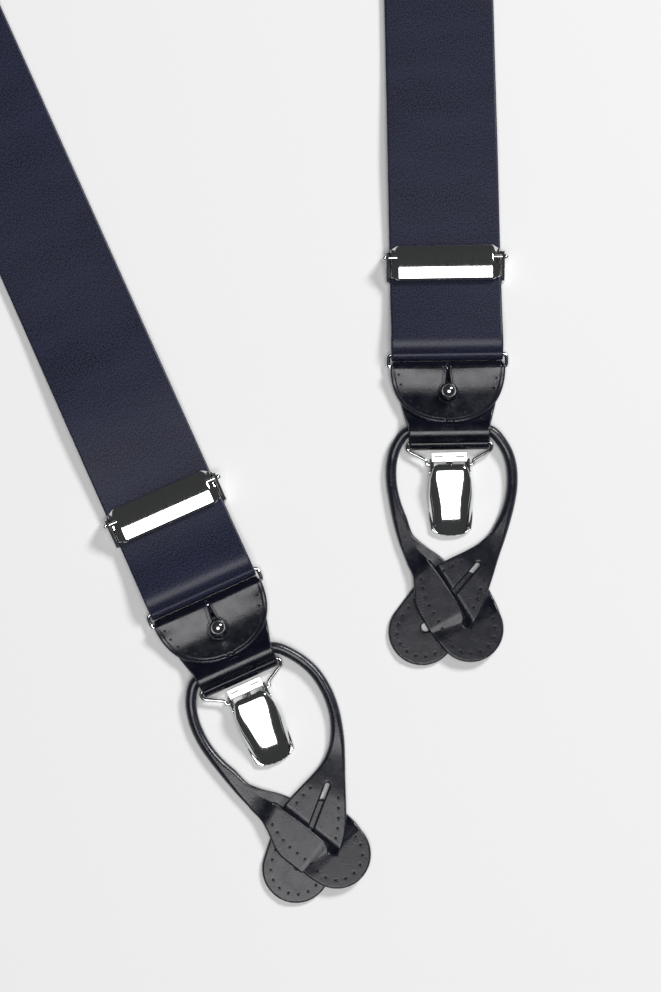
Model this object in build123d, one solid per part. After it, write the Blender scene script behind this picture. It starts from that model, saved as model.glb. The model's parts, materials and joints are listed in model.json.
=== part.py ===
"""Y-back dress suspenders, laid flat with the front side up.

Two front straps and one rear strap meet in a leather back patch. Each strap ends in a metal ring.
A leather end hangs on the ring: a folded tab, a D-shaped flap closed over a ball stud, a wire bail
with a lever clip, and a rolled leather loop whose two flat tabs cross and hold the trouser buttons.

Millimetres. The origin is the middle of the back patch, on the table. +Z points up from the table.
Each end is made in its own frame: x across the strap, y up the strap, y = 0 at the leather fold.
"""
from math import cos, radians, sin
import os

from build123d import *

# ---- layout on the table: place and turn of each end --------------------------------------------
RIGHT_END = (333.4, -537.1, 0.9)
LEFT_END = (258.0, -611.9, 24.3)
REAR_LENGTH = 262.0
PATCH_TURN = 37.3
REAR_END = (-REAR_LENGTH * sin(radians(PATCH_TURN)), REAR_LENGTH * cos(radians(PATCH_TURN)), 180.0 + PATCH_TURN)

# ---- straps --------------------------------------------------------------------------------------
STRAP_WIDTH = 35.0
STRAP_THICK = 1.0
STRAP_Z = 1.75
STRAP_START = 54.0
RIGHT_STRAIGHT = 150.0
RIGHT_BEND_RADIUS = 295.0
RIGHT_BEND_ANGLE = 49.4
RIGHT_LENGTH = 670.4
LEFT_LENGTH = 651.9
STRAP_LOOP_REACH = 68.0
STRAP_BACK_REACH = 8.5
TAIL_BOTTOM = 17.0

# ---- ring ----------------------------------------------------------------------------------------
RING_WIRE = 0.65
RING_Z = 2.2
RING_HALF = 18.6
RING_CORNER = 1.1
ROD_UPPER = 2.25
ROD_LOWER = -2.2
FOLD_INNER = 0.75

# ---- leather -------------------------------------------------------------------------------------
LEATHER = 1.4
FOLD_OUTER = FOLD_INNER + LEATHER
TAB_TOP_HALF = 17.4
TAB_BOTTOM_HALF = 12.2
TAB_FRONT_TOP = -5.0
FLAP_HALF = 18.0
FLAP_BOTTOM = -20.1
FLAP_RISE = 1.45
TUNNEL_Y = -22.6
TUNNEL_Z = 3.2
TUNNEL_RADIUS = 1.78
BAIL_Y = -26.1
BAIL_Z = 2.2

# ---- ball stud -----------------------------------------------------------------------------------
STUD_Y = -10.6
STUD_BALL = 2.65
STUD_BALL_Z = 7.3
FLAP_HOLE = 3.05

# ---- adjuster ------------------------------------------------------------------------------------
ADJ_BOTTOM = 25.4
ADJ_TOP = 36.2
ADJ_EAR_IN = 17.85
ADJ_EAR_OUT = 18.55
ADJ_PIN_Y = 32.4
ADJ_PIN_Z = 6.3
ADJ_PIN_RADIUS = 0.6
ADJ_PLATE_HALF = 16.05
ADJ_BALL = 0.85

# ---- bail and clip -------------------------------------------------------------------------------
BAIL_WIRE = 0.5
BAIL_HALF = 13.2
CLIP_PIVOT_Y = -33.0
CLIP_PIVOT_Z = 2.4
CLIP_HALF = 6.2
CLIP_SHEET = 0.7
CLIP_FOOT_HALF = 5.0
CLIP_TOP_LENGTH = 2.3
CLIP_TOP_TILT = 8.0
CLIP_BOTTOM = -54.2
CLIP_PIN_Y = -35.6
CLIP_PIN_Z = 3.3
CLIP_PIN_RADIUS = 0.5
COVER_TOP = -33.6
COVER_BOTTOM = -55.4
COVER_ARCH = 17.0
COVER_CREST = 6.5

# ---- rolled leather loop -------------------------------------------------------------------------
CORD = 1.6
TAB_THICK = 1.8
PADDLE = 10.5
BUTTONHOLE = 1.8
OVER_Z = 2.3
UNDER_Z = 0.1
RIGHT_LEAN = -3.7
LEFT_LEAN = 0.8

# ---- back patch ----------------------------------------------------------------------------------
PATCH_HEIGHT = 60.0
PATCH_TOP_HALF = 21.0
PATCH_BOTTOM_HALF = 44.0
LINING_TOP = STRAP_Z
PATCH_TOP = STRAP_Z + STRAP_THICK + 1.4


def side_sheet(lines, half):
    """Extrude a closed side outline, drawn in y and z, by half to each side of x = 0."""
    return extrude(Plane.YZ * make_face(lines), amount=half, both=True)


def rod(y, z, radius, half):
    """A round bar along x."""
    return Pos(0, y, z) * Rot(0, 90, 0) * Cylinder(radius, 2 * half)


def block(x0, x1, y0, y1, z0, z1):
    """A box between two corners."""
    return Pos((x0 + x1) / 2, (y0 + y1) / 2, (z0 + z1) / 2) * Box(x1 - x0, y1 - y0, z1 - z0)


def pair(x0, x1, y0, y1, z0, z1):
    """The same box on both sides of x = 0."""
    return block(x0, x1, y0, y1, z0, z1) + block(-x1, -x0, y0, y1, z0, z1)


def prism(lines, z0, z1):
    """A closed plan outline raised from z0 to z1."""
    return Pos(0, 0, z0) * extrude(make_face(lines), amount=z1 - z0)


def wire_tube(points, radii, radius):
    """A round wire along straight runs joined by tangent arcs."""
    path = FilletPolyline(*points, radius=radii)
    start = Plane(path @ 0, z_dir=path % 0)
    return sweep(start * Circle(radius), path=path)


# ---- straps --------------------------------------------------------------------------------------
def straight_strap(length):
    """A flat strap that runs straight up from STRAP_START."""
    half = STRAP_WIDTH / 2
    return block(-half, half, STRAP_START, length, STRAP_Z, STRAP_Z + STRAP_THICK)


def bent_strap():
    """A flat strap that runs straight, bends in its own plane and runs straight into the patch."""
    half = STRAP_WIDTH / 2
    turn = radians(RIGHT_BEND_ANGLE)
    last = RIGHT_LENGTH - RIGHT_STRAIGHT - turn * RIGHT_BEND_RADIUS

    def on_bend(angle, side):
        reach = RIGHT_BEND_RADIUS + side
        return (reach * cos(angle) - RIGHT_BEND_RADIUS, RIGHT_STRAIGHT + reach * sin(angle))

    def at_end(side):
        x, y = on_bend(turn, side)
        return (x - last * sin(turn), y + last * cos(turn))

    outline = Curve() + [
        Line((-half, STRAP_START), (half, STRAP_START)),
        Line((half, STRAP_START), on_bend(0, half)),
        ThreePointArc(on_bend(0, half), on_bend(turn / 2, half), on_bend(turn, half)),
        Line(on_bend(turn, half), at_end(half)),
        Line(at_end(half), at_end(-half)),
        Line(at_end(-half), on_bend(turn, -half)),
        ThreePointArc(on_bend(turn, -half), on_bend(turn / 2, -half), on_bend(0, -half)),
        Line(on_bend(0, -half), (-half, STRAP_START)),
    ]
    return prism(outline, STRAP_Z, STRAP_Z + STRAP_THICK)


def strap_loop(front_reach):
    """The strap turned round the upper bar of the ring, with its front and back legs."""
    inner = FOLD_INNER
    outer = FOLD_INNER + STRAP_THICK
    y = ROD_UPPER
    outline = Curve() + [
        Line((front_reach, RING_Z + inner), (y, RING_Z + inner)),
        ThreePointArc((y, RING_Z + inner), (y - inner, RING_Z), (y, RING_Z - inner)),
        Line((y, RING_Z - inner), (STRAP_BACK_REACH, RING_Z - inner)),
        Line((STRAP_BACK_REACH, RING_Z - inner), (STRAP_BACK_REACH, RING_Z - outer)),
        Line((STRAP_BACK_REACH, RING_Z - outer), (y, RING_Z - outer)),
        ThreePointArc((y, RING_Z - outer), (y - outer, RING_Z), (y, RING_Z + outer)),
        Line((y, RING_Z + outer), (front_reach, RING_Z + outer)),
        Line((front_reach, RING_Z + outer), (front_reach, RING_Z + inner)),
    ]
    return side_sheet(outline, STRAP_WIDTH / 2)


def rear_strap():
    """The rear strap: a loop round its ring, a short slope and a flat run into the patch."""
    front = RING_Z + FOLD_INNER
    slope = Polyline(
        (19.0, front), (32.0, STRAP_Z), (REAR_LENGTH + 2.0, STRAP_Z),
        (REAR_LENGTH + 2.0, STRAP_Z + STRAP_THICK), (32.3, STRAP_Z + STRAP_THICK),
        (19.3, front + STRAP_THICK), (19.0, front + STRAP_THICK), close=True,
    )
    return strap_loop(19.0) + side_sheet(slope, STRAP_WIDTH / 2)


# ---- ring and leather ----------------------------------------------------------------------------
def ring():
    """A rectangular wire ring with rounded corners."""
    middle = (ROD_UPPER + ROD_LOWER) / 2
    path = Pos(0, middle, RING_Z) * RectangleRounded(2 * RING_HALF, ROD_UPPER - ROD_LOWER, RING_CORNER).wire()
    section = Plane((0, ROD_UPPER, RING_Z), z_dir=(1, 0, 0)) * Circle(RING_WIRE)
    return sweep(section, path=path)


def tab():
    """The leather tab: folded over the ring, down behind, round the bail and up in front."""
    low = RING_Z - FOLD_OUTER
    mid = RING_Z - FOLD_INNER
    outline = Curve() + [
        Line((ROD_LOWER, low), (BAIL_Y, low)),
        ThreePointArc((BAIL_Y, low), (BAIL_Y - FOLD_OUTER, BAIL_Z), (BAIL_Y, BAIL_Z + FOLD_OUTER)),
        Spline((BAIL_Y, BAIL_Z + FOLD_OUTER), (TUNNEL_Y - 0.2, TUNNEL_Z + TUNNEL_RADIUS + LEATHER - 0.1),
               (TUNNEL_Y + 2.5, 4.25), (TUNNEL_Y + 6.0, mid + LEATHER + 0.3), (TUNNEL_Y + 9.0, mid + LEATHER),
               tangents=[(1, 0.25), (1, 0)]),
        Line((TUNNEL_Y + 9.0, mid + LEATHER), (TAB_FRONT_TOP, mid + LEATHER)),
        Line((TAB_FRONT_TOP, mid + LEATHER), (TAB_FRONT_TOP, mid)),
        Line((TAB_FRONT_TOP, mid), (ROD_LOWER, mid)),
        ThreePointArc((ROD_LOWER, mid), (ROD_LOWER + FOLD_INNER, RING_Z), (ROD_LOWER, RING_Z + FOLD_INNER)),
        Line((ROD_LOWER, RING_Z + FOLD_INNER), (ROD_LOWER, RING_Z + FOLD_OUTER)),
        ThreePointArc((ROD_LOWER, RING_Z + FOLD_OUTER), (ROD_LOWER + FOLD_OUTER, RING_Z), (ROD_LOWER, low)),
    ]
    strip = side_sheet(outline, TAB_TOP_HALF)
    plan = Polyline(
        (TAB_TOP_HALF, 1.0), (TAB_TOP_HALF, -3.0), (14.6, -14.5), (12.9, -21.0), (TAB_BOTTOM_HALF, -29.5),
        (-TAB_BOTTOM_HALF, -29.5), (-12.9, -21.0), (-14.6, -14.5), (-TAB_TOP_HALF, -3.0),
        (-TAB_TOP_HALF, 1.0), close=True,
    )
    strip = strip & prism(plan, -1.0, 9.0)
    strip -= rod(TUNNEL_Y, TUNNEL_Z, TUNNEL_RADIUS, 20.0)
    strip -= rod(BAIL_Y, BAIL_Z, FOLD_INNER, 20.0)
    return strip - stud()


def stud():
    """The ball stud: rivet head behind the tab, shank through both layers, flange, neck and ball."""
    low = RING_Z - FOLD_OUTER
    leather_top = RING_Z - FOLD_INNER + LEATHER
    head = Cylinder(3.4, 0.6, align=(Align.CENTER, Align.CENTER, Align.MIN))
    flange = Cylinder(2.5, 0.4, align=(Align.CENTER, Align.CENTER, Align.MIN))
    neck = Cylinder(1.25, STUD_BALL_Z - low, align=(Align.CENTER, Align.CENTER, Align.MIN))
    body = Pos(0, 0, low) * head + Pos(0, 0, low) * neck + Pos(0, 0, leather_top) * flange
    return Pos(0, STUD_Y, 0) * (body + Pos(0, 0, STUD_BALL_Z) * Sphere(STUD_BALL))


def flap():
    """The D-shaped leather flap, rising a little to its lower edge, with its slit and stud hole."""
    bottom = RING_Z + FOLD_INNER
    profile = Polyline((ROD_LOWER, bottom), (FLAP_BOTTOM, bottom + FLAP_RISE),
                       (FLAP_BOTTOM, bottom + FLAP_RISE + LEATHER), (ROD_LOWER, bottom + LEATHER), close=True)
    edge = Spline((FLAP_HALF, -3.0), (14.3, -14.1), (0, FLAP_BOTTOM), (-14.3, -14.1), (-FLAP_HALF, -3.0),
                  tangents=[(0, -1), (0, 1)])
    outline = Curve() + [
        edge,
        Line((-FLAP_HALF, -3.0), (-TAB_TOP_HALF, ROD_LOWER)),
        Line((-TAB_TOP_HALF, ROD_LOWER), (TAB_TOP_HALF, ROD_LOWER)),
        Line((TAB_TOP_HALF, ROD_LOWER), (FLAP_HALF, -3.0)),
    ]
    slit = Polyline((-0.2, ROD_LOWER + 1), (-0.6, STUD_Y), (0.6, STUD_Y), (0.2, ROD_LOWER + 1), close=True)
    sheet = prism(outline, 0.0, 10.0) & side_sheet(profile, FLAP_HALF + 1.0)
    sheet -= prism(slit, 0.0, 10.0)
    return sheet - Pos(0, STUD_Y - 0.15, bottom) * Cylinder(FLAP_HOLE, 8 * LEATHER)


# ---- adjuster ------------------------------------------------------------------------------------
def adjuster_frame():
    """The wire-thin frame: two bars behind the strap and an ear at each side."""
    bars = block(-ADJ_EAR_OUT, ADJ_EAR_OUT, ADJ_BOTTOM, ADJ_BOTTOM + 1.8, 0.3, 1.5)
    bars += block(-ADJ_EAR_OUT, ADJ_EAR_OUT, 33.6, 35.4, 0.3, 1.5)
    ear_outline = Polyline((ADJ_BOTTOM, 0.3), (35.4, 0.3), (35.4, 3.0), (33.9, 7.0), (30.9, 7.0),
                           (ADJ_BOTTOM, 3.0), close=True)
    ear = Plane.YZ * make_face(ear_outline)
    ears = extrude(Pos(ADJ_EAR_IN, 0, 0) * ear, amount=ADJ_EAR_OUT - ADJ_EAR_IN)
    ears += extrude(Pos(-ADJ_EAR_OUT, 0, 0) * ear, amount=ADJ_EAR_OUT - ADJ_EAR_IN)
    return bars + ears - rod(ADJ_PIN_Y, ADJ_PIN_Z, ADJ_PIN_RADIUS, 20.0)


def adjuster_pin():
    """The hinge pin with a small ball head outside each ear."""
    heads = Pos(ADJ_EAR_OUT + 0.45, ADJ_PIN_Y, ADJ_PIN_Z) * Sphere(ADJ_BALL)
    heads += Pos(-ADJ_EAR_OUT - 0.45, ADJ_PIN_Y, ADJ_PIN_Z) * Sphere(ADJ_BALL)
    outside = pair(ADJ_EAR_OUT, 30.0, 20.0, 45.0, 0.0, 12.0)
    return rod(ADJ_PIN_Y, ADJ_PIN_Z, ADJ_PIN_RADIUS, ADJ_EAR_OUT + 0.3) + (heads & outside)


def adjuster_plate():
    """The convex front plate with its hinge lugs and the toothed bar that grips the strap."""
    outline = Curve() + [
        ThreePointArc((ADJ_BOTTOM, 5.0), (30.6, 7.9), (ADJ_TOP, 5.9)),
        Line((ADJ_TOP, 5.9), (ADJ_TOP - 0.35, 5.35)),
        ThreePointArc((ADJ_TOP - 0.35, 5.35), (30.6, 7.1), (ADJ_BOTTOM + 0.6, 4.7)),
        Line((ADJ_BOTTOM + 0.6, 4.7), (ADJ_BOTTOM, 5.0)),
    ]
    plate = side_sheet(outline, ADJ_PLATE_HALF)
    lug_outline = Polyline((30.2, 5.3), (34.2, 5.3), (34.0, 7.0), (32.0, 7.6), (30.2, 7.4), close=True)
    lug = Plane.YZ * make_face(lug_outline)
    lugs = extrude(Pos(ADJ_PLATE_HALF - 1.0, 0, 0) * lug, amount=2.2)
    lugs += extrude(Pos(-ADJ_PLATE_HALF - 1.2, 0, 0) * lug, amount=2.2)
    teeth = Polyline((29.3, 7.3), (29.3, 4.9), (29.7, 4.1), (30.3, 4.9), (30.9, 4.1), (31.3, 4.9),
                     (31.3, 7.3), close=True)
    bar = side_sheet(teeth, ADJ_PLATE_HALF - 2.5)
    return plate + lugs + bar - rod(ADJ_PIN_Y, ADJ_PIN_Z, ADJ_PIN_RADIUS + 0.06, 20.0)


def strap_tail():
    """The sewn end of the strap where it meets the adjuster's lower bar."""
    half = STRAP_WIDTH / 2
    low = RING_Z - FOLD_INNER - STRAP_THICK
    return block(-half, half, TAIL_BOTTOM, ADJ_BOTTOM, low, low + STRAP_THICK)


# ---- bail and clip -------------------------------------------------------------------------------
def bail():
    """The wire bail: a bar in the tab's fold, two slanted arms and ends turned into the clip."""
    inner = 5.3
    points = [
        (-inner, CLIP_PIVOT_Y, CLIP_PIVOT_Z), (-7.6, CLIP_PIVOT_Y, CLIP_PIVOT_Z), (-7.6, -31.4, 2.38),
        (-BAIL_HALF, -28.6, 2.25), (-BAIL_HALF, BAIL_Y, BAIL_Z), (BAIL_HALF, BAIL_Y, BAIL_Z),
        (BAIL_HALF, -28.6, 2.25), (7.6, -31.4, 2.38), (7.6, CLIP_PIVOT_Y, CLIP_PIVOT_Z),
        (inner, CLIP_PIVOT_Y, CLIP_PIVOT_Z),
    ]
    return wire_tube(points, 0.55, BAIL_WIRE)


def clip_base():
    """The clip's back plate with a slotted, turned-up top, a toothed lip and two ears."""
    outline = Polyline((CLIP_HALF, -31.2), (CLIP_HALF, -50.0), (CLIP_FOOT_HALF, CLIP_BOTTOM),
                       (-CLIP_FOOT_HALF, CLIP_BOTTOM), (-CLIP_HALF, -50.0), (-CLIP_HALF, -31.2), close=True)
    plate = prism(outline, 0.3, 0.3 + CLIP_SHEET)
    top = block(-5.4, 5.4, -0.3, CLIP_TOP_LENGTH, 0.0, CLIP_SHEET) - pair(2.0, 4.7, 0.9, 1.5, -1.0, 2.0)
    plate += Pos(0, -31.3, 0.35) * Rot(CLIP_TOP_TILT, 0, 0) * top
    plate -= pair(0.9, 4.9, -33.6, -31.6, 0.0, 2.0)
    ear_outline = Polyline((-31.2, 0.3), (-31.2, 2.8), (-32.2, 3.7), (-34.6, 4.1), (-36.6, 4.1),
                           (-38.2, 1.5), (-38.2, 0.3), close=True)
    ear = Plane.YZ * make_face(ear_outline)
    ears = extrude(Pos(CLIP_HALF - 0.6, 0, 0) * ear, amount=0.6)
    ears += extrude(Pos(-CLIP_HALF, 0, 0) * ear, amount=0.6)
    lip = block(-4.4, 4.4, CLIP_BOTTOM, CLIP_BOTTOM + 1.0, 0.3, 1.25)
    base = plate + ears + lip
    base -= rod(CLIP_PIVOT_Y, CLIP_PIVOT_Z, BAIL_WIRE + 0.07, 20.0)
    return base - rod(CLIP_PIN_Y, CLIP_PIN_Z, CLIP_PIN_RADIUS, 20.0)


def clip_pin():
    """The clip's axle with a flat head at each end."""
    return rod(CLIP_PIN_Y, CLIP_PIN_Z, CLIP_PIN_RADIUS, CLIP_HALF + 0.25)


def clip_cover():
    """The domed lever that closes the clip, with two lugs on the axle."""
    outline = Curve() + [
        Line((4.7, COVER_TOP), (-4.7, COVER_TOP)),
        Spline((-4.7, COVER_TOP), (-6.9, -43.7), (-6.2, -53.4), tangents=[(-0.3, -1), (0.15, -1)]),
        ThreePointArc((-6.2, -53.4), (0, COVER_BOTTOM), (6.2, -53.4)),
        Spline((6.2, -53.4), (6.9, -43.7), (4.7, COVER_TOP), tangents=[(0.15, 1), (-0.3, 1)]),
    ]
    outer = Pos(0, -44, COVER_CREST - COVER_ARCH) * Rot(90, 0, 0) * Cylinder(COVER_ARCH, 40)
    inner = Pos(0, -44, COVER_CREST - COVER_ARCH) * Rot(90, 0, 0) * Cylinder(COVER_ARCH - CLIP_SHEET, 40)
    shell = prism(outline, 2.0, 9.0) & (outer - inner)
    lug_outline = Polyline((-34.6, 5.6), (-34.6, 2.8), (-35.2, 2.3), (-36.0, 2.3), (-37.2, 3.2), (-40.5, 5.6),
                           close=True)
    lug = Plane.YZ * make_face(lug_outline)
    lugs = extrude(Pos(4.5, 0, 0) * lug, amount=0.7) + extrude(Pos(-5.2, 0, 0) * lug, amount=0.7)
    lugs = lugs & outer
    return shell + lugs - rod(CLIP_PIN_Y, CLIP_PIN_Z, CLIP_PIN_RADIUS + 0.06, 20.0)


def clip_jaw():
    """The inner leaf with a toothed grip pad and two eyes round the axle."""
    leaf = block(-4.2, 4.2, -53.0, -35.8, 1.9, 2.45)
    eye = rod(CLIP_PIN_Y, CLIP_PIN_Z, 1.1, 4.2) - block(-2.4, 2.4, -40.0, -30.0, 0.0, 6.0)
    pad = block(-4.2, 4.2, -53.0, -48.5, 1.6, 1.9)
    for row in range(4):
        pad += block(-4.2, 4.2, -52.9 + 1.15 * row, -52.3 + 1.15 * row, 1.35, 1.7)
    return leaf + eye + pad - rod(CLIP_PIN_Y, CLIP_PIN_Z, CLIP_PIN_RADIUS + 0.06, 20.0)


# ---- rolled leather loop -------------------------------------------------------------------------
def loop_drift(y, lean):
    """How far the hanging loop leans sideways at height y."""
    return lean * (TUNNEL_Y - y) / 60.0


def loop_tab(side, z, lean):
    """One flat tab: a paddle with a round buttonhole and a slit that runs back to the cord."""
    centre = (-6.2 * side + loop_drift(-83.6, lean), -83.6)
    neck = (8.6 * side + loop_drift(-63.5, lean), -63.5)
    waist = (1.2 * side + loop_drift(-74.0, lean), -74.0)
    circles = [Pos(*centre) * Circle(PADDLE), Pos(*waist) * Circle(8.2), Pos(*neck) * Circle(2.6)]
    outline = make_hull([circle.edges()[0] for circle in circles])
    tab_sheet = Pos(0, 0, z) * extrude(outline, amount=TAB_THICK)
    hole = Pos(centre[0], centre[1], z) * Cylinder(BUTTONHOLE, 4 * TAB_THICK)
    slit_line = Line(centre, (neck[0] - 2.4 * side, neck[1] - 3.2))
    slit = Pos(0, 0, z - 1) * extrude(trace(slit_line, 0.9), amount=TAB_THICK + 2)
    return tab_sheet - hole - slit


def loop(lean):
    """The rolled cord through the tab's tunnel, with its two tabs crossed below."""
    half = [(13.4, TUNNEL_Y, TUNNEL_Z), (17.4, -27.0, 2.6), (18.7, -34.5, 1.75), (18.2, -42.0, 1.7),
            (16.2, -50.5, 1.7)]
    over_end = [(12.6, -58.0, 2.3), (8.2, -64.0, 3.15)]
    under_end = [(12.6, -58.0, 1.65), (8.2, -64.0, 1.65)]
    left = [(loop_drift(y, lean) - x, y, z) for x, y, z in half + over_end]
    right = [(loop_drift(y, lean) + x, y, z) for x, y, z in half + under_end]
    cord = wire_tube(left[::-1] + right, [7.0, 9.0, 9.0, 9.0, 8.0, 2.4, 2.4, 8.0, 9.0, 9.0, 9.0, 7.0], CORD)
    return cord + loop_tab(-1, OVER_Z, lean) + loop_tab(1, UNDER_Z, lean)


# ---- back patch ----------------------------------------------------------------------------------
def patch_outline():
    """A shield shape: straight lower edge for two straps, hollow sides, round top for one strap."""
    half = PATCH_HEIGHT / 2
    return Curve() + [
        Line((-PATCH_BOTTOM_HALF, -half), (PATCH_BOTTOM_HALF, -half)),
        Spline((PATCH_BOTTOM_HALF, -half), (PATCH_BOTTOM_HALF + 1.0, -half + 13.0), (PATCH_TOP_HALF + 6.0, 4.0),
               (PATCH_TOP_HALF, half), tangents=[(0.35, 1), (0, 1)]),
        Line((PATCH_TOP_HALF, half), (-PATCH_TOP_HALF, half)),
        Spline((-PATCH_TOP_HALF, half), (-PATCH_TOP_HALF - 6.0, 4.0), (-PATCH_BOTTOM_HALF - 1.0, -half + 13.0),
               (-PATCH_BOTTOM_HALF, -half), tangents=[(0, -1), (0.35, -1)]),
    ]


def placed(shape, end):
    """Move a shape from an end's own frame to its place on the table."""
    x, y, turn = end
    return Pos(x, y, 0) * Rot(0, 0, turn) * shape


def leather_end(prefix, lean):
    """The pieces that hang on one ring, in the end's own frame."""
    return {
        prefix + "ring": ring(),
        prefix + "tab": tab(),
        prefix + "flap": flap(),
        prefix + "stud": stud(),
        prefix + "bail": bail(),
        prefix + "clip_base": clip_base(),
        prefix + "clip_pin": clip_pin(),
        prefix + "clip_cover": clip_cover(),
        prefix + "clip_jaw": clip_jaw(),
        prefix + "button_loop": loop(lean),
    }


def adjuster(prefix):
    """The pieces of one adjuster and the strap ends it holds, in the end's own frame."""
    return {
        prefix + "strap_loop": strap_loop(STRAP_LOOP_REACH),
        prefix + "strap_tail": strap_tail(),
        prefix + "adjuster_frame": adjuster_frame(),
        prefix + "adjuster_pin": adjuster_pin(),
        prefix + "adjuster_plate": adjuster_plate(),
    }


def build():
    """Every node of the suspenders, by name, in its place."""
    nodes = {}
    for prefix, end, lean, strap in (
        ("right_", RIGHT_END, RIGHT_LEAN, bent_strap()),
        ("left_", LEFT_END, LEFT_LEAN, straight_strap(LEFT_LENGTH)),
    ):
        pieces = {prefix + "strap": strap}
        pieces.update(adjuster(prefix))
        pieces.update(leather_end(prefix, lean))
        nodes.update({name: placed(shape, end) for name, shape in pieces.items()})
    rear = {"rear_strap": rear_strap()}
    rear.update(leather_end("rear_", 0.0))
    nodes.update({name: placed(shape, REAR_END) for name, shape in rear.items()})

    lining = Rot(0, 0, PATCH_TURN) * prism(patch_outline(), 0.0, LINING_TOP)
    front = Rot(0, 0, PATCH_TURN) * prism(patch_outline(), LINING_TOP, PATCH_TOP)
    for name in ("right_strap", "left_strap", "rear_strap"):
        front -= nodes[name]
    nodes["back_patch_lining"] = lining
    nodes["back_patch_front"] = front
    return nodes


if __name__ == "__main__":
    os.makedirs("parts", exist_ok=True)
    for name, shape in build().items():
        export_step(shape, f"parts/{name}.step")
        box = shape.bounding_box()
        print(f"{name:24s} {shape.volume:9.1f} mm3  x {box.min.X:7.1f} {box.max.X:7.1f}"
              f"  y {box.min.Y:7.1f} {box.max.Y:7.1f}  z {box.min.Z:5.2f} {box.max.Z:5.2f}")
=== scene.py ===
"""Navy satin suspenders with leather ends, button loops and lever clips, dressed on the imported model.

Lengths in the code are millimetres; meshes are in metres. Each end has its own frame: x across the
strap, y up the strap, z up from the table, with y = 0 at the leather fold on the ring.
"""

import json
from math import cos, pi, radians, sin

import bmesh
import bpy
import numpy as np
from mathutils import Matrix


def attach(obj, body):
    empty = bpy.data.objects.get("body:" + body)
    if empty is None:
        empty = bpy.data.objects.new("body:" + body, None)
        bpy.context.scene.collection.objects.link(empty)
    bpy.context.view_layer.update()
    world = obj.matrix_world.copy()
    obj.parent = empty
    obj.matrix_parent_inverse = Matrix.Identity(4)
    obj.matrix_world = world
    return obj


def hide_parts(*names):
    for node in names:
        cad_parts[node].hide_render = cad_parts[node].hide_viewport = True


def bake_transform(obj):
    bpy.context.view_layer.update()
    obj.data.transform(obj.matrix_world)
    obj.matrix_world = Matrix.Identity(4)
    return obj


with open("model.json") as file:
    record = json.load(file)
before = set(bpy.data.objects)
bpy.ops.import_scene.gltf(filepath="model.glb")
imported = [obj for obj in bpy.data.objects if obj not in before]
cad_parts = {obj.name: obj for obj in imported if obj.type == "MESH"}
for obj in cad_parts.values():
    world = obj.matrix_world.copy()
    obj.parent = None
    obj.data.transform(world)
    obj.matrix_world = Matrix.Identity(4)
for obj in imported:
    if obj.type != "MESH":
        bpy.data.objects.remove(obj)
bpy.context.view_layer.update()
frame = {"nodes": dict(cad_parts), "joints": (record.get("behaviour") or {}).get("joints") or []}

bl_info = {
    "name": "Suspenders",
    "version": (1, 0, 0),
    "blender": (4, 5, 0),
    "location": "3D View > Sidebar > Suspenders",
    "description": "Satin straps, leather ends, button loops and chrome clips",
    "category": "Object",
}

MM = 0.001
FRONTS = ("right", "left")
ENDS = ("right", "left", "rear")
UP = np.array((0.0, 0.0, 1.0))

# ---- places shared with the CAD, in millimetres ----------------------------------------------------
RING_UPPER_Y = 2.25
RING_LOWER_Y = -2.2
RING_Z = 2.2
RING_HALF = 18.6
RING_CORNER = 1.6
RING_WIRE = 0.65
FOLD_MIDDLE = 1.45
STUD_Y = -10.6
STUD_BALL = 2.65
STUD_BALL_Z = 7.3
TUNNEL_Y = -22.6
TUNNEL_Z = 3.2
BAIL_Y = -26.1
BAIL_Z = 2.2
BAIL_WIRE = 0.5
CLIP_TOP = -33.4
CLIP_BOTTOM = -55.2
LEFT_STRAP_LENGTH = 651.9
RIGHT_STRAIGHT = 150.0
RIGHT_BEND_RADIUS = 295.0
RIGHT_BEND_DEGREES = 49.4
RIGHT_STRAP_LENGTH = 670.4
REAR_STRAP_LENGTH = 264.0
PATCH_HEIGHT = 60.0

# ---- gauges of the sheets: half thickness, width of the rounded edge, pressed groove, needle marks ---
LEATHER_HALF = 0.68
LEATHER_EDGE = 0.6
SATIN_EDGE = 0.42
CORD_HALF = 1.66
TAB_HALF = 0.85
COVER_HALF = 0.3
PLATE_HALF = 0.28
GROOVE = (1.05, 0.1, 0.22)
MARK_PITCH = 3.1


# ---- small maths -----------------------------------------------------------------------------------
def linear(hex_colour):
    """An sRGB hex colour as linear RGBA: c/12.92 below 0.04045, else ((c + 0.055)/1.055)^2.4."""
    channels = np.array([int(hex_colour[k:k + 2], 16) for k in (1, 3, 5)]) / 255
    light = np.where(channels <= 0.04045, channels / 12.92, ((channels + 0.055) / 1.055) ** 2.4)
    return (*light.tolist(), 1.0)


def ease(value, low, high):
    """Smoothstep: 0 at low, 1 at high, 3t^2 - 2t^3 between."""
    t = np.clip((value - low) / (high - low), 0, 1)
    return t * t * (3 - 2 * t)


def eased_steps(value, knots):
    """A line through (place, level) knots with an S-curve between neighbours."""
    places, levels = np.array(knots, float).T
    k = np.clip(np.searchsorted(places, value) - 1, 0, len(places) - 2)
    t = np.clip((value - places[k]) / (places[k + 1] - places[k]), 0, 1)
    return levels[k] + (levels[k + 1] - levels[k]) * t * t * (3 - 2 * t)


def smooth_line(points):
    """A dense Catmull-Rom line: each run is the cubic with tangents (next - previous)/2 at its ends."""
    p = np.array(points, float)
    p = np.vstack([2 * p[:1] - p[1:2], p, 2 * p[-1:] - p[-2:-1]])
    t = np.linspace(0, 1, 40, endpoint=False)[None, :, None]
    a, b, c, d = (p[k:len(p) - 3 + k, None, :] for k in range(4))
    curve = 0.5 * (2 * b + (c - a) * t + (2 * a - 5 * b + 4 * c - d) * t ** 2
                   + (3 * b - a - 3 * c + d) * t ** 3)
    return np.vstack([curve.reshape(-1, p.shape[1]), p[-2:-1]])


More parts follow.
